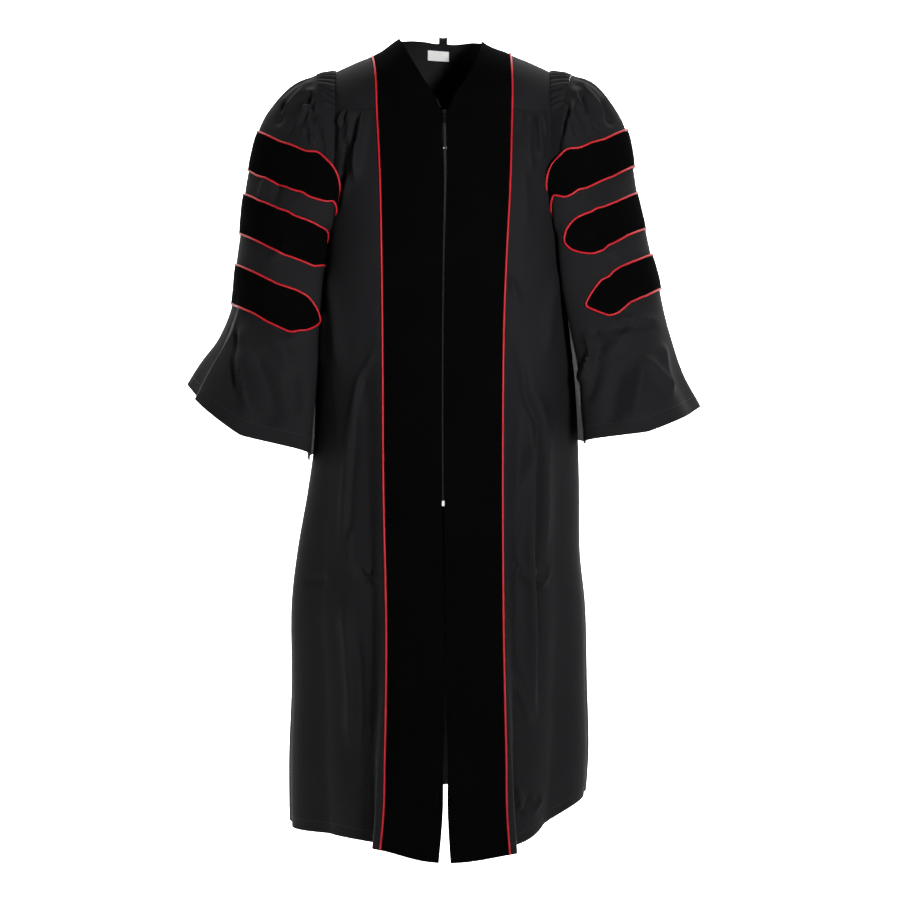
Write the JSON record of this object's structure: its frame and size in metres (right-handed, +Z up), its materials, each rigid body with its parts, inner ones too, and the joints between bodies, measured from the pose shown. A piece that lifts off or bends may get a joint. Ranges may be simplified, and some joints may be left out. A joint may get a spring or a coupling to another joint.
{
  "type": "graduation gown",
  "caption": "Hollow doctoral graduation gown with velvet facings, bell sleeves with velvet bars, red piping and a front zip with a swinging pull tab",
  "frame": {"origin": "between the shoulders, at the height where the wearer's shoulders hold the gown up", "axes": "+Z up, -Y towards the front, +X to the right as seen from the front"},
  "size_m": [0.8286, 0.4108, 1.3294],
  "materials": {
    "crepe": "black crepe with a faint sheen",
    "velvet": "deep black velvet",
    "piping": "red satin piping",
    "tape": "black woven tape",
    "coil": "grey nylon coil",
    "steel": "polished zinc",
    "gunmetal": "dark plated zinc",
    "satin": "white satin, blank"
  },
  "bodies": {
    "gown": {"yoke": "crepe", "back": "crepe", "front_left": "crepe", "front_right": "crepe", "sleeve_left": "crepe", "sleeve_right": "crepe", "sleeve_head_left": "crepe", "sleeve_head_right": "crepe", "hang_loop": "crepe", "velvet_left": "velvet", "velvet_right": "velvet", "bar_left_1": "velvet", "bar_left_2": "velvet", "bar_left_3": "velvet", "bar_right_1": "velvet", "bar_right_2": "velvet", "bar_right_3": "velvet", "piping_left": "piping", "piping_right": "piping", "bar_piping_left_1": "piping", "bar_piping_left_2": "piping", "bar_piping_left_3": "piping", "bar_piping_right_1": "piping", "bar_piping_right_2": "piping", "bar_piping_right_3": "piping", "zip_tape_left": "tape", "zip_tape_right": "tape", "zip_chain": "coil", "slider": "gunmetal", "bottom_stop": "steel", "label": "satin"},
    "pull_tab": {"pull_tab": "gunmetal"}
  },
  "joints": [
    {"name": "pull_tab_swing", "type": "hinge", "parent": "gown", "child": "pull_tab", "pos_m": [0.00271, -0.09185, -0.09242], "axis": [-1, 0, 0], "range_deg": [0, 150]}
  ]
}
